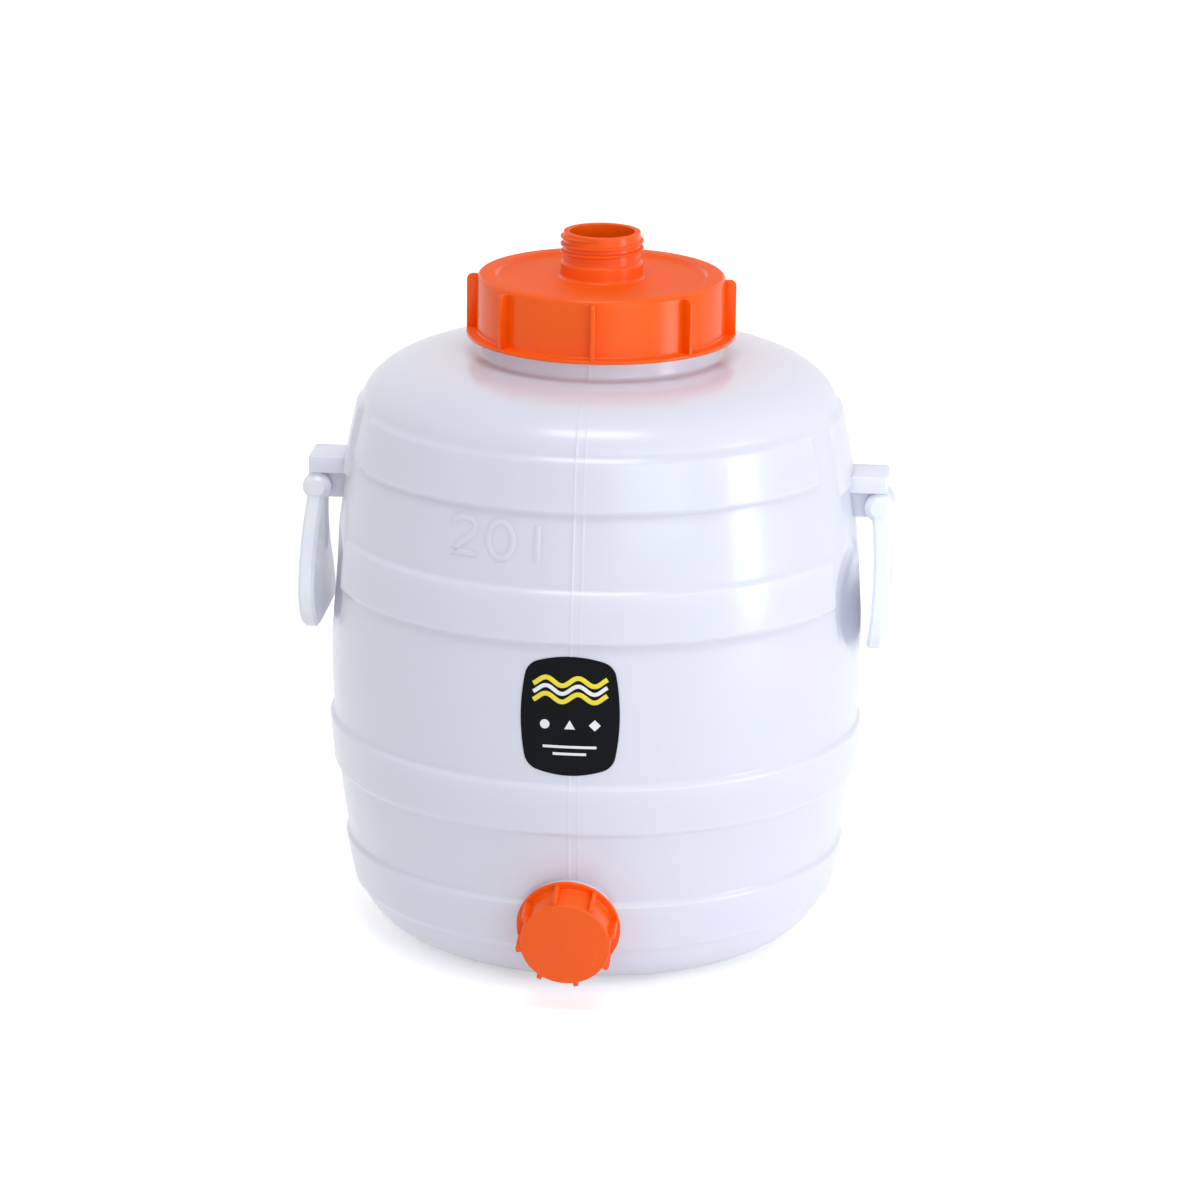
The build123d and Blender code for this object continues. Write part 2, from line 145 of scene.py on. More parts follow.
OUTLET_Z = 44.5
OUTLET_STAND = 2.5
OUTLET_BOSS_R = 26.0
OUTLET_DEPTH = 9.0
OUTLET_R = 21.0
OUTLET_BORE_R = 18.0
OUTLET_RIM = 15.4
OUTLET_ROUNDING = {2: 0.8, 4: 0.5, 5: 0.5}
OUTLET_CLEAR = 3.0        # wall taken away round the bore, where the outlet's own ring hides its edge
OUTLET_REACH = 50.0       # how far behind the cap's seat the wall is opened, through both its skins
CAP_GAP = 0.5
CAP_H = 20.0
CAP_PLATE = 2.5
CAP_INSIDE_R = 22.3
CAP_R = 24.2
CAP_FACE_R = 24.7
CAP_EDGE = 1.2
CAP_FLANGE_R = 28.4
CAP_FLANGE_T = 2.0
CAP_RIB_R = 27.7
CAP_RIB_T = 2.7
CAP_RIB_ANGLE = 12.1
CAP_RIB_ROOT = 1.0
CAP_RIB_EDGE = 0.6
CAP_RIB_ROUND = 1.2
CAP_NECKING = 0.4         # step from the face's rim down to the wall
CAP_ROUNDING = {3: CAP_EDGE, 4: 0.4, 6: 0.8, 7: 0.6, 8: 0.6, 10: 0.8}
GATE_R = 1.3
GATE_H = 0.3

LABEL_T = 0.3
LABEL_GLUE = 0.05
LABEL_MID_W = 53.7
LABEL_END_W = 47.0
LABEL_MID_H = 66.8
LABEL_SIDE_H = 57.0
LABEL_CORNER = 5.0
LABEL_GRID = 28           # squares of its mesh, each way
LABEL_SINK = 0.05         # its back under the wall's face
PRINT_GAP = 0.02          # between the label and what is printed on it
PRINT_T = 0.03
PRINT_RISE = 0.1          # share of a printed line's half width that slopes

# ---- Threads: root radius, crest radius, pitch, first height, turns ------------------
NECK_THREAD = (NECK_R, NECK_COLLAR_R, 6.0, 349.5, 2.9)
OUTLET_THREAD = (OUTLET_R, 22.0, 4.2, 2.2, 2.6)
SPOUT_THREAD = (SPOUT_R, 23.0, 4.2, 386.6, 2.75)
THREAD_STEPS = 60         # sections in a turn
THREAD_FADE = 6           # a thread grows out of its root over a turn divided by this
THREAD_SINK = 0.3         # how far it reaches under its root
THREAD_EDGE = 0.15
THREAD_FLANK = 0.3        # half a ridge at its foot, brow and crest, as shares of the pitch
THREAD_BROW = 0.42 * THREAD_FLANK
THREAD_CREST = 0.2 * THREAD_FLANK

# ---- Capacity numerals, millimetres to the right of and over the belly's middle ------
DIGIT_LOW = 83.0
DIGIT_H = 20.0
DIGIT_STROKE = 3.8
DIGIT_RISE = 0.35         # share of a stroke's half width that slopes
DIGIT_SINK = -0.1
TWO_CURVE = (             # across, and up as a share of the height
    (-69.8, 0.78), (-68.6, 0.91), (-63.8, 1.0), (-57.6, 0.96), (-55.0, 0.80),
    (-56.4, 0.60), (-61.2, 0.40), (-66.0, 0.22), (-68.8, 0.09),
)
TWO_FOOT = (-70.6, -65.2, -59.9, -54.6)
TWO_FOOT_UP = 0.04
ZERO_X = -40.4
ZERO_HALF_W = 7.2
ZERO_MIDDLE = 0.51        # its middle and half its height, as shares of the height
ZERO_HALF_H = 0.49
ZERO_STEPS = 28
BAR_ACROSS = -19.5
BAR_STEPS = 6

# ---- Label's pattern, millimetres from its middle ------------------------------------
WAVE_SWING = 2.2
WAVE_PITCH = 0.36         # radians of the wave in a millimetre
WAVE_REACH = 20
WAVE_W = 2.6
BRIGHT_WAVES = (19.5, 10.5)
PALE_WAVE = 15
PALE_WAVE_W = 2.2
DOT = (-13.5, -4.5)
DOT_R = 2.6
DOT_STEPS = 24
TRIANGLE = (0.0, -5.2)
TRIANGLE_R = 3.4
DIAMOND = (13.5, -4.5)
DIAMOND_R = 3.2
BARS = ((-17.0, 14.5), (-21.0, 9.0))      # height and reach to each side
BAR_W = 1.5
SHAPE_RINGS = (0.02, 0.25, 0.5, 0.75, 1.0)

# ---- Finishes ------------------------------------------------------------------------
MATT_FROM = 0.75          # upward part of a normal where a matt top starts, and where it is full
MATT_FULL = 0.97
MATT_GAIN = 0.34
PRINT_ROUGHNESS = 0.42
PRINT_WHITES = ((0.78, 0.78, 0.78), (0.86, 0.86, 0.85))
SEAL_WHITES = ((0.62, 0.60, 0.55), (0.72, 0.70, 0.64))

# ---- Stage, metres -------------------------------------------------------------------
AIM = (0.0016, 0.0, 0.1886)
LAMP_AIM = (0.0, 0.0, 0.2)
LAMPS = {                 # place, size and colour; the settings hold the power
    "window": ((1.15, -0.40, 0.36), (0.30, 0.66), (0.87, 0.93, 1.0)),
    "top": ((0.0, -0.75, 2.55), (1.3, 0.6), (0.85, 0.93, 1.0)),
    "front": ((1.3, -2.3, 0.9), (1.6, 1.2), (0.80, 0.90, 1.0)),
}
SKY_COLOUR = (0.98, 0.98, 1.0, 1.0)
WHITE = (1.0, 1.0, 1.0, 1.0)
FLOOR_HALF = 6.0
FLOOR_Z = -0.0002
FLOOR_PALE = (0.92, 0.92, 0.92, 1.0)
FLOOR_DEEP = (0.90, 0.90, 0.90, 1.0)
FLOOR_GLOW = 0.45         # brings the floor up to white, for rays that show the background


# ---- Form ----------------------------------------------------------------------------
def wall_r(z, inset=0.0):
    """Radius of the plain wall at height z."""
    return BELLY_R - BELLY_ARC + sqrt((BELLY_ARC - inset) ** 2 - (z - BELLY_Z) ** 2)


def ease(t):
    """Smooth step from 0 to 1."""
    t = min(max(t, 0.0), 1.0)
    return t * t * (3 - 2 * t)


def soft_max(a, b, width):
    """Larger of two values, rounded over where they meet."""
    h = max(width - abs(a - b), 0.0) / width
    return max(a, b) + h * h * width / 4


def soft_min(a, b, width):
    """Smaller of two values, rounded over where they meet."""
    return -soft_max(-a, -b, width)


def bezier(p0, p1, p2, p3, count):
    """Points of a cubic curve, without its first point."""
    points = []
    for i in range(1, count + 1):
        t = i / count
        s = 1 - t
        weights = (s * s * s, 3 * s * s * t, 3 * s * t * t, t * t * t)
        points.append(tuple(sum(w * p[k] for w, p in zip(weights, (p0, p1, p2, p3))) for k in (0, 1)))
    return points


def line(start, end, count):
    """Points of a straight run, without its first point."""
    return [tuple(start[k] + (end[k] - start[k]) * i / count for k in (0, 1)) for i in range(1, count + 1)]


def rounded(outline, radii, count=4):
    """An outline of (radius, height) points with its corners rounded by the radii given."""
    points = []
    for i, here in enumerate(outline):
        size = radii.get(i, 0.0)
        if not size:
            points.append(here)
            continue
        before, after = outline[i - 1], outline[(i + 1) % len(outline)]
        ends = []
        for other in (before, after):
            length = hypot(other[0] - here[0], other[1] - here[1])
            share = min(size / length, 0.5)
            ends.append(tuple(here[k] + (other[k] - here[k]) * share for k in (0, 1)))
        points.append(ends[0])
        pull = [tuple(end[k] + (here[k] - end[k]) * 0.55 for k in (0, 1)) for end in ends]
        points += bezier(ends[0], pull[0], pull[1], ends[1], count)
    return points


def wall_heights(fine):
    """Heights of the wall's rows, close together at the hoops' flanks and the pad's brow."""
    middles = [BELLY_Z + sign * step for step in HOOP_STEPS for sign in (1, -1)]
    edges = [middle + side * HOOP_W / 2 for middle in middles for side in (1, -1)]
    edges.append(PAD_LOW)
    z, rows = CORNER_Z, []
    while z < SHOULDER_Z:
        rows.append(z)
        near = min(abs(z - e) for e in edges)
        z += fine if near < HOOP_EDGE + 1 else PLAIN_ROWS * fine
    return rows


def section(inset, fine):
    """The turned section from the middle of the base up to the rim, as (radius, height) points."""
    lean = asin((BELLY_Z - CORNER_Z) / BELLY_ARC)
    corner = (wall_r(CORNER_Z) - inset * cos(lean), CORNER_Z + inset * sin(lean))
    tilt = asin((BELLY_Z - SHOULDER_Z) / BELLY_ARC)
    shoulder = (wall_r(SHOULDER_Z) - inset * cos(tilt), SHOULDER_Z + inset * sin(tilt))
    pull = FULLNESS * (CORNER_Z - inset)
    rise = FULLNESS * (SHOULDER_TOP - SHOULDER_Z - inset)
    foot_mid = (PUSH_UP_R + FOOT_IN_R) / 2
    floor, ledge = PUSH_UP + inset, SHOULDER_TOP - inset
    collar, neck = NECK_COLLAR_R - inset, NECK_R - inset
    coarse = max(3, round(COARSE_RUN / fine))
    points = [(HUB_R, floor)]
    points += line((HUB_R, floor), (PUSH_UP_R, floor), coarse)
    points += bezier((PUSH_UP_R, floor), (foot_mid, floor), (foot_mid, inset), (FOOT_IN_R, inset), coarse)
    points += line((FOOT_IN_R, inset), (FOOT_OUT_R, inset), max(2, coarse // 3))
    points += bezier(
        (FOOT_OUT_R, inset),
        (FOOT_OUT_R + FULLNESS * (corner[0] - FOOT_OUT_R), inset),
        (corner[0] - pull * sin(lean), corner[1] - pull * cos(lean)),
        corner,
        3 * coarse,
    )
    straight = [z for z in wall_heights(fine) if corner[1] + fine < z < shoulder[1] - fine]
    points += [(wall_r(z, inset), z) for z in straight]
    points.append(shoulder)
    points += bezier(
        shoulder,
        (shoulder[0] + rise * sin(tilt), shoulder[1] + rise * cos(tilt)),
        (LEDGE_R + FULLNESS * (shoulder[0] - LEDGE_R), ledge),
        (LEDGE_R, ledge),
        3 * coarse,
    )
    points += line((LEDGE_R, ledge), (collar + NECK_ROOT, ledge), 3)
    bend = (collar + 0.4, ledge + 0.4)
    points += bezier((collar + NECK_ROOT, ledge), bend, bend, (collar, ledge + NECK_ROOT), 5)
    points += line((collar, ledge + NECK_ROOT), (collar, NECK_COLLAR_TOP - RIM_EASE), 3)
    points.append((collar - RIM_EASE_SIDE, NECK_COLLAR_TOP - RIM_EASE_SIDE))
    points.append((collar - RIM_EASE, NECK_COLLAR_TOP))
    step = (neck, NECK_COLLAR_TOP + 0.1)
    points.append(step)
    if inset:
        return points + line(step, (neck - 0.02, NECK_TOP - 3), 4)
    bore, brow = neck - WALL, NECK_TOP - RIM_EASE_TOP
    points += line(step, (neck, NECK_TOP - RIM_EASE), 4)
    points += [(neck - RIM_EASE_SIDE, brow), (neck - RIM_EASE, NECK_TOP), (bore + RIM_EASE, NECK_TOP)]
    points += [(bore + RIM_EASE_SIDE, brow), (bore, NECK_TOP - RIM_EASE), (bore, NECK_TOP - 8)]
    return points


def columns(step, fine_step):
    """Angles of the columns, close together round the handle bays and at the parting line."""
    bay = asin(HOOP_GAP / wall_r(SHOULDER_Z)) + radians(3)
    seam = [SEAM_HALF_W / BELLY_R * k / 2 for k in range(-4, 5)]
    twin = [SEAM_TWIN_X / BELLY_R + s for s in seam[1:]]
    marks = [-pi / 2 + s for s in seam + twin]
    angle = marks[-1] + SEAM_HALF_W / BELLY_R
    while angle < pi / 2 - 4 * SEAM_HALF_W / BELLY_R:
        marks.append(angle)
        near = abs(angle) < bay
        angle += fine_step if near else step
    return marks + [mark + pi for mark in marks]


def hoop_height(z, across, inset):
    """How far a hoop or a pad stands out at height z, from 0 to 1, across mm from the handles' plane."""
    half = HOOP_W / 2 - inset / 2 + HOOP_EDGE / 4
    height = 0.0
    for step in HOOP_STEPS:
        for sign in (1, -1):
            near = ease((half - abs(z - BELLY_Z - sign * step)) / HOOP_EDGE)
            if sign > 0:
                near *= ease((abs(across) - HOOP_GAP - inset) / HOOP_EDGE)
            height = max(height, near)
    top = BELLY_Z + HOOP_STEPS[1] + half
    pad = ease((top - z) / HOOP_EDGE) * ease((z - PAD_LOW) / HOOP_EDGE)
    pad *= ease((PAD_HALF_W - inset - abs(across)) / HOOP_EDGE)
    return max(height, pad)


def scooped(r, turn, z, inset):
    """Radius where the wall is hollowed by a finger scoop, turn away from the handles' plane."""
    middle = wall_r(SCOOP_Z) - SCOOP_DEPTH + SCOOP_R
    off = turn - asin(SCOOP_APART / wall_r(SCOOP_Z))
    reach = (SCOOP_R + inset) ** 2 - (z - SCOOP_Z) ** 2 - (middle * sin(off)) ** 2
    if reach <= 0:
        return r
    return soft_min(r, middle * cos(off) - sqrt(reach), SCOOP_EDGE)


def seam_height(r, angle, proud):
    """How far the parting line stands out of the wall, or of a hoop that is proud by 0 to 1."""
    front = angle < 0
    off = (angle + pi / 2) * r if front else (angle - pi / 2) * r
    shape = ease(1 - abs(off) / SEAM_HALF_W)
    if front:
        shape = max(shape, SEAM_TWIN * ease(1 - abs(off - SEAM_TWIN_X) / SEAM_HALF_W))
    return SEAM_H * shape * (1 - proud * (1 - SEAM_OVER_HOOP if front else 1))


def moulded_point(r, z, angle, inset):
    """A point of the moulded wall, in millimetres, from its turned section."""
    proud = hoop_height(z, r * sin(angle), inset) if r > LEDGE_R and z > BASE_ZONE else 0.0
    r += HOOP_PROUD * proud
    if not inset and r > NECK_R:
        r += seam_height(r, angle, proud)
    x, y = r * cos(angle), r * sin(angle)
    if abs(z - SCOOP_Z) < SCOOP_R / 2 and abs(x) > abs(y):
        k = scooped(hypot(x, y), abs(atan2(y, abs(x))), z, inset) / hypot(x, y)
        x, y = x * k, y * k
    if z < BASE_ZONE:
        slope = CHANNEL_HALF_W + CHANNEL_SHIFT * inset + CHANNEL_DEPTH + inset - abs(x)
        lift = min(CHANNEL_DEPTH + inset, max(slope, 0.0))
        z = soft_max(z, lift, CHANNEL_EDGE) if lift > 0 else z
    return x, y, z


def outlet_place():
    """The outlet's own frame: its axis looks out of the wall."""
    tilt = asin((BELLY_Z - OUTLET_Z) / BELLY_ARC)
    out = Vector((0, -cos(tilt), -sin(tilt)))
    side = Vector((1, 0, 0))
    up = out.cross(side)
    rows = Matrix((side, up, out)).transposed().to_4x4()
    foot = Vector((0, -wall_r(OUTLET_Z) - HOOP_PROUD - OUTLET_STAND, OUTLET_Z)) * MM
    return Matrix.Translation(foot) @ rows


# ---- Meshes --------------------------------------------------------------------------
def mesh_object(name, bm, smooth_angle=38):
    """A new object from a bmesh that is in metres, shaded smooth up to an angle."""
    mesh = bpy.data.meshes.new(name)
    bmesh.ops.recalc_face_normals(bm, faces=bm.faces)
    bm.to_mesh(mesh)
    bm.free()
    piece = bpy.data.objects.new(name, mesh)
    bpy.context.scene.collection.objects.link(piece)
    mesh.shade_smooth()
    mesh.set_sharp_from_angle(angle=radians(smooth_angle))
    return piece


def row_of(bm, points):
    """A row of vertices from millimetre points."""
    return [bm.verts.new((x * MM, y * MM, z * MM)) for x, y, z in points]


def bridge(bm, first, second):
    """Faces between two closed rows; a row of one vertex takes a fan."""
    count = max(len(first), len(second))
    for i in range(count):
        j = (i + 1) % count
        if len(first) == 1:
            bm.faces.new((first[0], second[j], second[i]))
        elif len(second) == 1:
            bm.faces.new((first[i], first[j], second[0]))
        else:
            bm.faces.new((first[i], first[j], second[j], second[i]))


def turned(bm, outline, count, place=Matrix(), closed=True):
    """An outline of (radius, height) points turned about the axis of a place."""
    rows = []
    for r, z in outline:
        steps = 1 if r < 1e-6 else count
        turn = [2 * pi * i / count for i in range(steps)]
        rows.append(row_of(bm, [(r * cos(a), r * sin(a), z) for a in turn]))
    for vertex in (v for row in rows for v in row):
        vertex.co = place @ vertex.co
    pairs = list(zip(rows, rows[1:]))
    if closed:
        pairs.append((rows[-1], rows[0]))
    for low, high in pairs:
        bridge(bm, low, high)


def slab(bm, outline, half_t, place, edge=0.0, inner=()):
    """An outline of (across, up) points, extruded both ways; edge rounds its rims, inner is a hole."""
    sides = []
    for depth in (-half_t, half_t):
        loops = [row_of(bm, [(x, depth, z) for x, z in loop]) for loop in (outline, inner) if loop]
        sides.append(loops)
    for k in range(len(sides[0])):
        bridge(bm, sides[0][k], sides[1][k])
    caps = []
    for loops in sides:
        if len(loops) == 1:
            caps.append(bm.faces.new(loops[0]))
        else:
            rims = [bm.edges.get((loop[i - 1], loop[i])) for loop in loops for i in range(len(loop))]
            bmesh.ops.triangle_fill(bm, use_beauty=True, edges=rims)
    if edge:
        rims = [e for cap in caps for e in cap.edges]
        made = bmesh.ops.bevel(bm, geom=rims, offset=edge * MM, segments=3, profile=0.5, affect="EDGES")
        found = {v for f in made["faces"] for v in f.verts}
        found |= {v for loops in sides for loop in loops for v in loop if v.is_valid}
        found |= {v for cap in caps if cap.is_valid for v in cap.verts}
    else:
        found = {v for loops in sides for loop in loops for v in loop}
    for vertex in found:
        vertex.co = place @ vertex.co


def helix(bm, root, crest, pitch, low, turns, place=Matrix()):
    """A thread's ridge: starts and ends by growing out of its root."""
    steps = ceil(turns * THREAD_STEPS)
    rows = []
    for i in range(steps + 1):
        along = i / steps
        angle = 2 * pi * turns * along
        grown = ease(min(along, 1 - along) * turns * THREAD_FADE)
        top = root + (crest - root) * grown
        z = low + pitch * turns * along
        foot, brow = root - THREAD_SINK, top - THREAD_EDGE * grown
        shape = ((foot, -THREAD_FLANK), (brow, -THREAD_BROW), (top, -THREAD_CREST))
        shape += ((top, THREAD_CREST), (brow, THREAD_BROW), (foot, THREAD_FLANK))
        rows.append(row_of(bm, [(r * cos(angle), r * sin(angle), z + s * pitch) for r, s in shape]))
    for row in rows:
        for vertex in row:
            vertex.co = place @ vertex.co
    for low_row, high_row in zip(rows, rows[1:]):
        for k in range(len(low_row) - 1):
            bm.faces.new((low_row[k], low_row[k + 1], high_row[k + 1], high_row[k]))
    bm.faces.new(rows[0])
    bm.faces.new(rows[-1])


def on_wall(across, up, out):
    """A point on the wall's front, across mm to the right and up mm over the belly."""
    z = BELLY_Z + up
    r = wall_r(z)
    angle = across / r - pi / 2
    return (r + out) * cos(angle), (r + out) * sin(angle), z


def ribbon(bm, points, width, out, height, closed=False, rise=0.5):
    """A raised strip along points on the wall's front, out mm over it, with sloped flanks."""
    count = len(points)
    rows = []
    for i, (u, v) in enumerate(points):
        before = points[(i - 1) % count] if closed or i else points[0]
        after = points[(i + 1) % count] if closed or i < count - 1 else points[-1]
        du, dv = after[0] - before[0], after[1] - before[1]
        length = hypot(du, dv) or 1.0
        nu, nv = -dv / length, du / length
        row = []
        for side, lift in ((-1, 0), (-1 + rise, height), (0, height), (1 - rise, height), (1, 0)):
            half = side * width / 2
            row.append(on_wall(u + nu * half, v + nv * half, out + lift))
        rows.append(row_of(bm, row))
    pairs = list(zip(rows, rows[1:]))
    if closed:
        pairs.append((rows[-1], rows[0]))
    for low, high in pairs:
        for k in range(4):
            bm.faces.new((low[k], low[k + 1], high[k + 1], high[k]))
    if not closed:
        bm.faces.new(rows[0])
        bm.faces.new(rows[-1])


def spot(bm, outline, middle, out):
    """A flat shape on the wall's front, filled from its middle in rings."""
    rings = []
    for share in SHAPE_RINGS:
        ring = [on_wall(middle[0] + u * share, middle[1] + v * share, out) for u, v in outline]
        rings.append(row_of(bm, ring))
    for low, high in zip(rings, rings[1:]):
        bridge(bm, low, high)
    bm.faces.new(rings[0])


# ---- Materials -----------------------------------------------------------------------
def mottled(name, low, high, scale, roughness, rough_swing=0.04, bump=0.0, bump_scale=300.0, **plain):
    """A plastic whose colour and roughness drift a little; plain values go straight to the shader."""
    material = bpy.data.materials.new(name)
    material.use_nodes = True
    nodes, links = material.node_tree.nodes, material.node_tree.links
    shader = nodes["Principled BSDF"]
    place = nodes.new("ShaderNodeTexCoord")
    noise = nodes.new("ShaderNodeTexNoise")
    noise.inputs["Scale"].default_value = scale
    noise.inputs["Detail"].default_value = 3.0
    links.new(place.outputs["Object"], noise.inputs["Vector"])
    ramp = nodes.new("ShaderNodeValToRGB")
    ramp.color_ramp.elements[0].position = 0.3
    ramp.color_ramp.elements[1].position = 0.7
    ramp.color_ramp.elements[0].color = (*low, 1.0)
    ramp.color_ramp.elements[1].color = (*high, 1.0)
    links.new(noise.outputs["Fac"], ramp.inputs["Fac"])
    links.new(ramp.outputs["Color"], shader.inputs["Base Color"])
    spread = nodes.new("ShaderNodeMapRange")
    spread.inputs["To Min"].default_value = roughness - rough_swing
    spread.inputs["To Max"].default_value = roughness + rough_swing
    links.new(noise.outputs["Fac"], spread.inputs["Value"])
    links.new(spread.outputs["Result"], shader.inputs["Roughness"])
    if bump:
        grain = nodes.new("ShaderNodeTexNoise")
        grain.inputs["Scale"].default_value = bump_scale
        links.new(place.outputs["Object"], grain.inputs["Vector"])
        lift = nodes.new("ShaderNodeBump")
        lift.inputs["Strength"].default_value = bump
        lift.inputs["Distance"].default_value = 0.0004
        links.new(grain.outputs["Fac"], lift.inputs["Height"])
        links.new(lift.outputs["Normal"], shader.inputs["Normal"])
    for socket, value in plain.items():
        shader.inputs[socket.replace("_", " ")].default_value = value
    return material


def matt_top(material, gain):
    """Makes the faces that look straight up rougher, as the mould's flats leave them."""
    nodes, links = material.node_tree.nodes, material.node_tree.links
    shader = nodes["Principled BSDF"]
    skin = shader.inputs["Roughness"].links[0].from_socket
    place = nodes.new("ShaderNodeTexCoord")
    split = nodes.new("ShaderNodeSeparateXYZ")
    links.new(place.outputs["Normal"], split.inputs["Vector"])
    upward = nodes.new("ShaderNodeMapRange")
    upward.inputs["From Min"].default_value = MATT_FROM
    upward.inputs["From Max"].default_value = MATT_FULL
    upward.inputs["To Max"].default_value = gain
    links.new(split.outputs["Z"], upward.inputs["Value"])
    total = nodes.new("ShaderNodeMath")
    links.new(skin, total.inputs[0])
    links.new(upward.outputs["Result"], total.inputs[1])
    links.new(total.outputs["Value"], shader.inputs["Roughness"])
    return material


def seen_directly(nodes, links):
    """A socket that is 1 for rays that show the background: from the camera, a gloss or a clear piece."""
    rays = nodes.new("ShaderNodeLightPath")
    found = rays.outputs["Is Camera Ray"]
    for kind in ("Is Glossy Ray", "Is Transmission Ray"):
        larger = nodes.new("ShaderNodeMath")
        larger.operation = "MAXIMUM"
        links.new(found, larger.inputs[0])
        links.new(rays.outputs[kind], larger.inputs[1])
        found = larger.outputs["Value"]
    return found


def shade(colour, factor):
    """A colour made darker or lighter."""
    return tuple(min(c * factor, 1.0) for c in colour)


def dress(piece, material, body=None):
    """Gives a piece its material, and where it is new, its body."""
    piece.data.materials.clear()
    piece.data.materials.append(material)
    if body:
        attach(piece, body)


def kept(name, key):
    """The material of that name, made by the settings when it is first asked for."""
    found = bpy.data.materials.get(name)
    if found:
        return found
    s = bpy.context.scene.drum_colours
    if key == "barrel":
        return mottled(
            name, shade(s.barrel, 0.985), s.barrel, scale=9.0, roughness=s.barrel_roughness,
            rough_swing=0.03, bump=0.05, bump_scale=160.0,
            Subsurface_Weight=s.barrel_depth, Subsurface_Scale=0.012,
            Subsurface_Radius=(1.0, 1.0, 1.0), IOR=1.5, Coat_Weight=0.4, Coat_Roughness=0.14,
        )
    if key == "orange":
        moulded = mottled(
            name, shade(s.orange, 0.95), s.orange, scale=24.0, roughness=s.orange_roughness,
            bump=0.05, bump_scale=260.0,
            Subsurface_Weight=0.12, Subsurface_Scale=0.006, Subsurface_Radius=(1.0, 0.35, 0.1),
            IOR=1.5, Specular_IOR_Level=0.3,
        )
        return matt_top(moulded, gain=MATT_GAIN)
    if key == "handle":
        return mottled(
            name, shade(s.handle, 0.97), s.handle, scale=30.0, roughness=0.34,
            bump=0.04, bump_scale=260.0, IOR=1.5,
        )
    if key == "black":
        return mottled(
            name, shade(s.label, 0.6), s.label, scale=60.0, roughness=PRINT_ROUGHNESS, rough_swing=0.05,
            bump=0.05, bump_scale=700.0, Specular_IOR_Level=0.1,
        )
    if key == "yellow":
        return mottled(name, shade(s.yellow, 0.93), s.yellow, scale=80.0, roughness=PRINT_ROUGHNESS)
    if key == "white":
        return mottled(name, *PRINT_WHITES, scale=80.0, roughness=PRINT_ROUGHNESS)
    if key == "seal":
        return mottled(
            name, *SEAL_WHITES, scale=90.0, roughness=0.75, rough_swing=0.06, bump=0.3, bump_scale=900.0,
        )
    raise RuntimeError(f"no finish is named {key}")


# ---- Settings ------------------------------------------------------------------------
class DrumColours(bpy.types.PropertyGroup):
    """Finishes of the drum."""

    barrel: FloatVectorProperty(
        name="Barrel", description="Colour of the milky barrel", subtype="COLOR", size=3,
        default=(0.78, 0.78, 0.88), min=0.0, max=1.0,
    )
    barrel_roughness: FloatProperty(
        name="Barrel roughness", description="Roughness of the barrel's skin",
        default=0.33, min=0.05, max=1.0,
    )
    barrel_depth: FloatProperty(
        name="Barrel depth", description="Share of light that goes into the barrel's wall",
        default=0.3, min=0.0, max=1.0,
    )
    orange: FloatVectorProperty(
        name="Orange", description="Colour of the lid and the outlet cap", subtype="COLOR", size=3,
        default=(0.99, 0.112, 0.0), min=0.0, max=1.0,
    )
    orange_roughness: FloatProperty(
        name="Orange roughness", description="Roughness of the lid and the cap",
        default=0.26, min=0.05, max=1.0,
    )
    handle: FloatVectorProperty(
        name="Handles", description="Colour of the handles", subtype="COLOR", size=3,
        default=(0.88, 0.90, 0.94), min=0.0, max=1.0,
    )
    label: FloatVectorProperty(
        name="Label", description="Ground colour of the label", subtype="COLOR", size=3,
        default=(0.003, 0.004, 0.006), min=0.0, max=1.0,
    )
    yellow: FloatVectorProperty(
        name="Label yellow", description="Bright colour of the label", subtype="COLOR", size=3,
        default=(0.90, 0.72, 0.03), min=0.0, max=1.0,
    )


class DrumForm(bpy.types.PropertyGroup):
    """Fineness and small raised details."""

    row_step: FloatProperty(
        name="Row step", description="Height between rows at a hoop's flank, in mm",
        default=0.85, min=0.5, max=4.0,
    )
    turn_step: FloatProperty(
        name="Turn step", description="Angle between columns of the barrel", default=radians(2.0),
        min=radians(1.0), max=radians(8.0), subtype="ANGLE",
    )
    bay_step: FloatProperty(
        name="Bay step", description="Angle between columns beside the handles", default=radians(0.7),
        min=radians(0.4), max=radians(4.0), subtype="ANGLE",
    )
    turns: IntProperty(
        name="Turned faces", description="Faces round a turned piece", default=160, min=24, max=360,
    )
    relief: FloatProperty(
        name="Relief", description="Height of the moulded numerals",
        default=0.0004, min=0.0001, max=0.003, unit="LENGTH", precision=5,
    )


class DrumStage(bpy.types.PropertyGroup):
    """Camera and light."""

    distance: FloatProperty(
        name="Distance", description="From the camera to the point it aims at",
        default=3.0, min=0.5, max=10.0, unit="LENGTH",
    )
    lens: FloatProperty(name="Lens", description="Focal length in mm", default=160.31, min=20.0, max=400.0)
    azimuth: FloatProperty(
        name="Azimuth", description="Camera's turn from the outlet towards +X", default=radians(5.3),
        min=-pi, max=pi, subtype="ANGLE",
    )
    elevation: FloatProperty(
        name="Elevation", description="Camera's height as an angle", default=radians(16.2),
        min=radians(-30), max=radians(89), subtype="ANGLE",
    )
    roll: FloatProperty(
        name="Roll", description="Camera's roll", default=radians(0.811), min=-pi, max=pi, subtype="ANGLE"
    )
    sky: FloatProperty(name="Sky", description="Strength of the even light", default=0.62, min=0.0, max=5.0)
    window: FloatProperty(
        name="Window", description="Power of the tall lamp on the right", default=3.6, min=0.0, max=500.0,
    )
    top: FloatProperty(
        name="Top", description="Power of the lamp overhead", default=17.0, min=0.0, max=500.0,
    )
    front: FloatProperty(
        name="Front", description="Power of the soft lamp in front", default=12.5, min=0.0, max=500.0,
    )


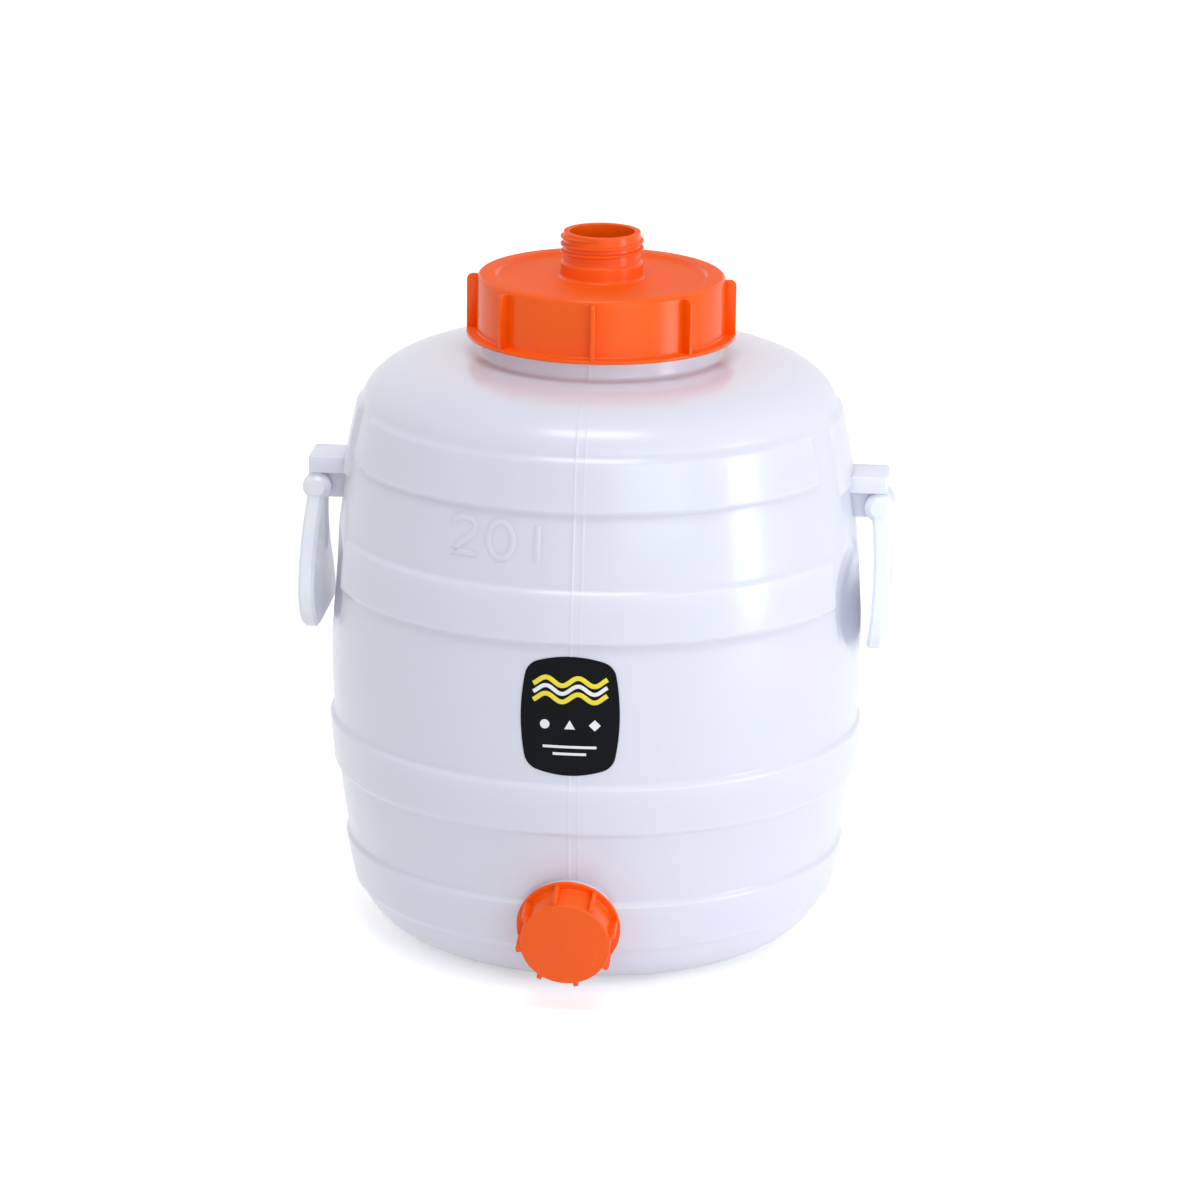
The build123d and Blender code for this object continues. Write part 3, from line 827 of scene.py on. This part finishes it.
# ---- Operators -----------------------------------------------------------------------
class DRUM_OT_barrel(bpy.types.Operator):
    """Builds the barrel's smooth wall, lugs and outlet neck"""

    bl_idname = "drum.barrel"
    bl_label = "Barrel"

    def execute(self, context):
        form = context.scene.drum_form
        bm = bmesh.new()
        self.wall(bm, 0.0, form.row_step, columns(form.turn_step, form.bay_step))
        inside = columns(INSIDE_COLUMNS * form.turn_step, INSIDE_COLUMNS * form.bay_step)
        self.wall(bm, WALL, INSIDE_ROWS * form.row_step, inside)
        self.open_outlet(bm)
        rim, root = OUTLET_RIM, -OUTLET_DEPTH
        outline = [
            (OUTLET_BORE_R, root), (OUTLET_BOSS_R, root), (OUTLET_BOSS_R, -CAP_GAP),
            (OUTLET_R, -CAP_GAP), (OUTLET_R, rim), (OUTLET_BORE_R, rim),
        ]
        turned(bm, rounded(outline, OUTLET_ROUNDING), form.turns, outlet_place())
        for side in (1, -1):
            self.lug(bm, side)
        piece = mesh_object("barrel_wall", bm)
        dress(piece, kept("drum_milky", "barrel"), "barrel")
        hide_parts("barrel")
        return {"FINISHED"}

    @staticmethod
    def wall(bm, inset, fine, angles):
        """The moulded wall, or its inside where it is inset."""
        rows = [row_of(bm, [(0, 0, PUSH_UP + inset)])]
        for r, z in section(inset, fine):
            rows.append(row_of(bm, [moulded_point(r, z, a, inset) for a in angles]))
        for low, high in zip(rows, rows[1:]):
            bridge(bm, low, high)

    @staticmethod
    def open_outlet(bm):
        """Takes away the wall behind the outlet's bore."""
        back = outlet_place().inverted()
        reach, depth = (OUTLET_BORE_R + OUTLET_CLEAR) * MM, -OUTLET_REACH * MM
        holes = []
        for face in bm.faces:
            middle = back @ face.calc_center_median()
            if hypot(middle.x, middle.y) < reach and middle.z > depth:
                holes.append(face)
        bmesh.ops.delete(bm, geom=holes, context="FACES")

    @staticmethod
    def lug(bm, side):
        """A handle's lug with its bore, under a plate with rounded ends."""
        low = LUG_PLATE_LOW - LUG_IN_PLATE
        arc = [radians(angle) for angle in range(-90, 1, 15)]
        outline = [(HINGE_X - LUG_DEPTH, low), (HINGE_X - LUG_DEPTH, HINGE_Z - LUG_R)]
        outline += [(HINGE_X + LUG_R * cos(a), HINGE_Z + LUG_R * sin(a)) for a in arc]
        outline += [(HINGE_X + LUG_R, HINGE_Z + LUG_RISE), (HINGE_X + LUG_R / 2, low)]
        bore = [2 * pi * i / 32 for i in range(32)]
        hole = [(HINGE_X + LUG_BORE_R * cos(a), HINGE_Z + LUG_BORE_R * sin(a)) for a in bore]
        turn = Matrix() if side > 0 else Matrix.Rotation(pi, 4, "Z")
        slab(bm, outline, LUG_HALF_W, turn, inner=hole)
        tip, back = HINGE_X + LUG_PLATE_OUT, HINGE_X - LUG_DEPTH
        ends = [(tip, LUG_PLATE_HALF_W), (tip, -LUG_PLATE_HALF_W)]
        foot = [(back, -LUG_PLATE_HALF_W), (back, LUG_PLATE_HALF_W)]
        plate = rounded(ends + foot, {0: LUG_PLATE_ROUND, 1: LUG_PLATE_ROUND})
        middle = Matrix.Translation((0, 0, (LUG_PLATE_LOW + LUG_PLATE_TOP) / 2 * MM))
        lying = middle @ Matrix.Rotation(pi / 2, 4, "X")
        slab(bm, plate, (LUG_PLATE_TOP - LUG_PLATE_LOW) / 2, turn @ lying, edge=LUG_PLATE_EDGE)


class DRUM_OT_threads(bpy.types.Operator):
    """Adds the threads of the neck and the outlet"""

    bl_idname = "drum.threads"
    bl_label = "Threads"

    def execute(self, context):
        bm = bmesh.new()
        helix(bm, *NECK_THREAD)
        helix(bm, *OUTLET_THREAD, outlet_place())
        piece = mesh_object("barrel_threads", bm, 50)
        dress(piece, kept("drum_milky", "barrel"), "barrel")
        return {"FINISHED"}


class DRUM_OT_numerals(bpy.types.Operator):
    """Moulds the plain capacity numerals on the wall"""

    bl_idname = "drum.numerals"
    bl_label = "Numerals"

    def execute(self, context):
        height = context.scene.drum_form.relief / MM
        turns = [2 * pi * i / ZERO_STEPS for i in range(ZERO_STEPS)]
        zero = [(ZERO_X + ZERO_HALF_W * cos(a), ZERO_MIDDLE + ZERO_HALF_H * sin(a)) for a in turns]
        strokes = (
            (TWO_CURVE, False),
            ([(across, TWO_FOOT_UP) for across in TWO_FOOT], False),
            (zero, True),
            ([(BAR_ACROSS, k / BAR_STEPS) for k in range(BAR_STEPS + 1)], False),
        )
        bm = bmesh.new()
        for stroke, closed in strokes:
            points = [(across, DIGIT_LOW + up * DIGIT_H) for across, up in stroke]
            ribbon(bm, points, DIGIT_STROKE, DIGIT_SINK, height, closed, DIGIT_RISE)
        piece = mesh_object("capacity_numerals", bm, 60)
        dress(piece, kept("drum_milky", "barrel"), "barrel")
        return {"FINISHED"}


class DRUM_OT_label(bpy.types.Operator):
    """Lays the black label with its plain pattern on the wall"""

    bl_idname = "drum.label"
    bl_label = "Label"

    def execute(self, context):
        sticker = mesh_object("label_ground", self.ground(), 60)
        dress(sticker, kept("drum_label", "black"), "barrel")
        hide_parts("label")
        out = LABEL_GLUE + LABEL_T + PRINT_GAP
        bm = bmesh.new()
        for level in BRIGHT_WAVES:
            ribbon(bm, self.wave(level), WAVE_W, out, PRINT_T, rise=PRINT_RISE)
        dress(mesh_object("label_waves", bm), kept("drum_yellow", "yellow"), "barrel")
        bm = bmesh.new()
        ribbon(bm, self.wave(PALE_WAVE), PALE_WAVE_W, out, PRINT_T, rise=PRINT_RISE)
        ring = [2 * pi * i / DOT_STEPS for i in range(DOT_STEPS)]
        spot(bm, [(DOT_R * cos(a), DOT_R * sin(a)) for a in ring], DOT, out + PRINT_T)
        spot(bm, self.polygon(3, TRIANGLE_R), TRIANGLE, out + PRINT_T)
        spot(bm, self.polygon(4, DIAMOND_R), DIAMOND, out + PRINT_T)
        for level, reach in BARS:
            bar = [(u * reach / 8, level) for u in range(-8, 9)]
            ribbon(bm, bar, BAR_W, out, PRINT_T, rise=PRINT_RISE)
        dress(mesh_object("label_marks", bm), kept("drum_white", "white"), "barrel")
        return {"FINISHED"}

    @staticmethod
    def wave(level):
        """Points of a wave across the label, about a height."""
        across = range(-WAVE_REACH, WAVE_REACH + 1)
        return [(u, level + WAVE_SWING * sin(u * WAVE_PITCH)) for u in across]

    @staticmethod
    def polygon(sides, size):
        """A regular shape with six points along each side."""
        turns = [2 * pi * k / sides for k in range(sides)]
        corners = [(size * sin(a), size * cos(a)) for a in turns]
        points = []
        for k in range(sides):
            points += [corners[k]] + line(corners[k], corners[(k + 1) % sides], 6)[:-1]
        return points

    @staticmethod
    def ground():
        """The sticker: a bowed rectangle with rounded corners, wrapped on the wall."""
        bm = bmesh.new()
        count = LABEL_GRID
        corner_u = 2 * LABEL_CORNER / LABEL_END_W
        corner_v = 2 * LABEL_CORNER / LABEL_SIDE_H
        rows = []
        for j in range(count + 1):
            row = []
            for i in range(count + 1):
                s, t = 2 * i / count - 1, 2 * j / count - 1
                over_s = (abs(s) - 1 + corner_u) / corner_u
                over_t = (abs(t) - 1 + corner_v) / corner_v
                if over_s > 0 and over_t > 0:
                    pull = max(over_s, over_t) / hypot(over_s, over_t)
                    s = (1 - corner_u + corner_u * over_s * pull) * (1 if s > 0 else -1)
                    t = (1 - corner_v + corner_v * over_t * pull) * (1 if t > 0 else -1)
                half_w = LABEL_END_W / 2 + (LABEL_MID_W - LABEL_END_W) / 2 * (1 - t * t)
                half_h = LABEL_SIDE_H / 2 + (LABEL_MID_H - LABEL_SIDE_H) / 2 * (1 - s * s)
                row.append((s * half_w, t * half_h))
            rows.append(row)
        layers = []
        for out in (-LABEL_SINK, LABEL_GLUE + LABEL_T):
            layers.append([row_of(bm, [on_wall(u, v, out) for u, v in row]) for row in rows])
        for grid in layers:
            for low, high in zip(grid, grid[1:]):
                for k in range(count):
                    bm.faces.new((low[k], low[k + 1], high[k + 1], high[k]))
        back, face = layers
        for grid in (0, -1):
            for k in range(count):
                bm.faces.new((back[grid][k], back[grid][k + 1], face[grid][k + 1], face[grid][k]))
                bm.faces.new((back[k][grid], back[k + 1][grid], face[k + 1][grid], face[k][grid]))
        return bm


class DRUM_OT_lid(bpy.types.Operator):
    """Builds the orange screw lid with its open spout, ribs and spout thread"""

    bl_idname = "drum.lid"
    bl_label = "Lid"

    def execute(self, context):
        count = context.scene.drum_form.turns
        bm = bmesh.new()
        recess = LID_TOP - LID_RECESS
        flange = LID_BOTTOM + LID_FLANGE_T
        outline = [
            (LID_R, LID_TOP), (LID_RECESS_R + LID_RECESS, LID_TOP), (LID_RECESS_R, recess),
            (SPOUT_COLLAR_R, recess), (SPOUT_COLLAR_R, SPOUT_COLLAR_TOP),
            (SPOUT_R, SPOUT_COLLAR_TOP + SPOUT_COLLAR_SLOPE), (SPOUT_R, SPOUT_TOP),
            (SPOUT_BORE_R, SPOUT_TOP), (SPOUT_BORE_R, LID_UNDER),
            (LID_INSIDE_R, LID_UNDER), (LID_INSIDE_R, LID_BOTTOM),
            (LID_FLANGE_R, LID_BOTTOM), (LID_FLANGE_R, flange), (LID_R, flange),
        ]
        turned(bm, rounded(outline, LID_ROUNDING, 5), count)
        top, foot, root = LID_RIB_TOP, flange - LID_FLANGE_T / 2, LID_R - LID_RIB_ROOT
        corners = [(root, foot), (LID_FLANGE_R, foot), (LID_FLANGE_R, top), (root, top)]
        profile = rounded(corners, {2: LID_EDGE}, 5)
        for k in range(RIBS):
            turn = Matrix.Rotation(radians(LID_RIB_ANGLE) + 2 * pi * k / RIBS, 4, "Z")
            slab(bm, profile, LID_RIB_T / 2, turn, edge=LID_RIB_EDGE)
        helix(bm, *SPOUT_THREAD)
        piece = mesh_object("lid_body", bm)
        dress(piece, kept("drum_orange", "orange"), "lid")
        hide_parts("lid")
        return {"FINISHED"}


class DRUM_OT_outlet_cap(bpy.types.Operator):
    """Builds the orange cap on the outlet, with its flange and ribs"""

    bl_idname = "drum.outlet_cap"
    bl_label = "Outlet cap"

    def execute(self, context):
        count = context.scene.drum_form.turns
        place = outlet_place()
        bm = bmesh.new()
        under = CAP_H - CAP_PLATE
        outline = [
            (0, CAP_H + GATE_H), (GATE_R, CAP_H + GATE_H), (GATE_R + GATE_H, CAP_H), (CAP_FACE_R, CAP_H),
            (CAP_FACE_R, under), (CAP_R, under - CAP_NECKING), (CAP_R, CAP_FLANGE_T),
            (CAP_FLANGE_R, CAP_FLANGE_T), (CAP_FLANGE_R, 0),
            (CAP_INSIDE_R, 0), (CAP_INSIDE_R, under), (0, under),
        ]
        turned(bm, rounded(outline, CAP_ROUNDING), count, place, closed=False)
        top, foot, root = CAP_H - CAP_EDGE, CAP_FLANGE_T / 2, CAP_R - CAP_RIB_ROOT
        corners = [(root, foot), (CAP_RIB_R, foot), (CAP_RIB_R, top), (root, top)]
        profile = rounded(corners, {2: CAP_RIB_ROUND})
        for k in range(RIBS):
            turn = Matrix.Rotation(radians(CAP_RIB_ANGLE) + 2 * pi * k / RIBS, 4, "Z")
            slab(bm, profile, CAP_RIB_T / 2, place @ turn, edge=CAP_RIB_EDGE)
        piece = mesh_object("cap_body", bm)
        dress(piece, kept("drum_orange", "orange"), "outlet_cap")
        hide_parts("outlet_cap")
        return {"FINISHED"}


class DRUM_OT_seals(bpy.types.Operator):
    """Gives the two seals their soft off-white finish"""

    bl_idname = "drum.seals"
    bl_label = "Seals"

    def execute(self, context):
        for node in ("lid_seal", "outlet_seal"):
            dress(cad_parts[node], kept("drum_seal", "seal"))
        return {"FINISHED"}


class DRUM_OT_handles(bpy.types.Operator):
    """Gives the two handles their white finish"""

    bl_idname = "drum.handles"
    bl_label = "Handles"

    def execute(self, context):
        for node in ("handle_left", "handle_right"):
            dress(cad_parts[node], kept("drum_handle", "handle"))
        return {"FINISHED"}


class DRUM_OT_stage(bpy.types.Operator):
    """Sets the camera, the lamps, the sky and the floor"""

    bl_idname = "drum.stage"
    bl_label = "Stage"

    def execute(self, context):
        s = context.scene.drum_stage
        self.camera(context.scene, s)
        self.sky(context.scene, s)
        for name, (place, size, colour) in LAMPS.items():
            self.lamp(name, place, size, getattr(s, name), colour)
        self.floor()
        context.scene.view_settings.view_transform = "Standard"
        return {"FINISHED"}

    @staticmethod
    def camera(scene, s):
        """A camera that looks at the drum from the front, a little from above."""
        level = cos(s.elevation)
        away = Vector((sin(s.azimuth) * level, -cos(s.azimuth) * level, sin(s.elevation)))
        data = bpy.data.cameras.new("camera")
        data.lens = s.lens
        data.sensor_width = 36.0
        data.clip_end = 20.0
        camera = bpy.data.objects.new("camera", data)
        scene.collection.objects.link(camera)
        right = Vector((0, 0, 1)).cross(away).normalized()
        up = away.cross(right)
        rolled_right = cos(s.roll) * right + sin(s.roll) * up
        rolled_up = cos(s.roll) * up - sin(s.roll) * right
        turn = Matrix((rolled_right, rolled_up, away)).transposed().to_4x4()
        camera.matrix_world = Matrix.Translation(Vector(AIM) + away * s.distance) @ turn
        scene.camera = camera

    @staticmethod
    def sky(scene, s):
        """An even sky that is white where it shows behind the drum."""
        world = bpy.data.worlds.new("sky")
        world.use_nodes = True
        scene.world = world
        nodes, links = world.node_tree.nodes, world.node_tree.links
        even = nodes["Background"]
        even.inputs["Color"].default_value = SKY_COLOUR
        even.inputs["Strength"].default_value = s.sky
        seen = nodes.new("ShaderNodeBackground")
        seen.inputs["Color"].default_value = WHITE
        seen.inputs["Strength"].default_value = 1.0
        mix = nodes.new("ShaderNodeMixShader")
        links.new(seen_directly(nodes, links), mix.inputs["Fac"])
        links.new(even.outputs["Background"], mix.inputs[1])
        links.new(seen.outputs["Background"], mix.inputs[2])
        links.new(mix.outputs["Shader"], nodes["World Output"].inputs["Surface"])

    @staticmethod
    def lamp(name, place, size, power, colour):
        """A rectangular lamp turned to the drum."""
        data = bpy.data.lights.new(name, "AREA")
        data.shape = "RECTANGLE"
        data.size, data.size_y = size
        data.energy = power
        data.color = colour
        lamp = bpy.data.objects.new(name, data)
        bpy.context.scene.collection.objects.link(lamp)
        lamp.location = place
        towards = Vector(LAMP_AIM) - Vector(place)
        lamp.rotation_euler = towards.to_track_quat("-Z", "Y").to_euler()
        lamp.visible_camera = False

    @staticmethod
    def floor():
        """A pale floor that takes the drum's shadow."""
        bm = bmesh.new()
        corners = ((-1, -1), (1, -1), (1, 1), (-1, 1))
        bm.faces.new([bm.verts.new((x * FLOOR_HALF, y * FLOOR_HALF, FLOOR_Z)) for x, y in corners])
        floor = mesh_object("floor", bm)
        material = bpy.data.materials.new("floor_white")
        material.use_nodes = True
        nodes, links = material.node_tree.nodes, material.node_tree.links
        shader = nodes["Principled BSDF"]
        noise = nodes.new("ShaderNodeTexNoise")
        noise.inputs["Scale"].default_value = 3.0
        ramp = nodes.new("ShaderNodeValToRGB")
        ramp.color_ramp.elements[0].color = FLOOR_DEEP
        ramp.color_ramp.elements[1].color = FLOOR_PALE
        links.new(noise.outputs["Fac"], ramp.inputs["Fac"])
        links.new(ramp.outputs["Color"], shader.inputs["Base Color"])
        shader.inputs["Roughness"].default_value = 0.9
        shader.inputs["Emission Color"].default_value = WHITE
        glow = nodes.new("ShaderNodeMath")
        glow.operation = "MULTIPLY"
        glow.inputs[1].default_value = FLOOR_GLOW
        links.new(seen_directly(nodes, links), glow.inputs[0])
        links.new(glow.outputs["Value"], shader.inputs["Emission Strength"])
        dress(floor, material)


# ---- Panel ---------------------------------------------------------------------------
class DRUM_PT_panel(bpy.types.Panel):
    """Sidebar panel with the drum's settings and steps"""

    bl_idname = "DRUM_PT_panel"
    bl_label = "Drum"
    bl_space_type = "VIEW_3D"
    bl_region_type = "UI"
    bl_category = "Drum"

    def draw(self, context):
        layout = self.layout
        for name, title in (("drum_form", "Form"), ("drum_colours", "Finishes"), ("drum_stage", "Stage")):
            group = getattr(context.scene, name)
            box = layout.box()
            box.label(text=title)
            for key in group.__annotations__:
                box.prop(group, key)
        steps = layout.column(align=True)
        for step in STEPS:
            steps.operator(step.bl_idname)


STEPS = (
    DRUM_OT_barrel,
    DRUM_OT_threads,
    DRUM_OT_numerals,
    DRUM_OT_label,
    DRUM_OT_lid,
    DRUM_OT_outlet_cap,
    DRUM_OT_seals,
    DRUM_OT_handles,
    DRUM_OT_stage,
)
GROUPS = {"drum_form": DrumForm, "drum_colours": DrumColours, "drum_stage": DrumStage}


def register():
    for group in GROUPS.values():
        bpy.utils.register_class(group)
    for step in STEPS:
        bpy.utils.register_class(step)
    bpy.utils.register_class(DRUM_PT_panel)
    for name, group in GROUPS.items():
        setattr(bpy.types.Scene, name, PointerProperty(type=group))


def unregister():
    for name in GROUPS:
        delattr(bpy.types.Scene, name)
    bpy.utils.unregister_class(DRUM_PT_panel)
    for step in reversed(STEPS):
        bpy.utils.unregister_class(step)
    for group in GROUPS.values():
        bpy.utils.unregister_class(group)


def main():
    register()
    for step in STEPS:
        family, name = step.bl_idname.split(".")
        getattr(getattr(bpy.ops, family), name)()


if __name__ == "__main__":
    main()
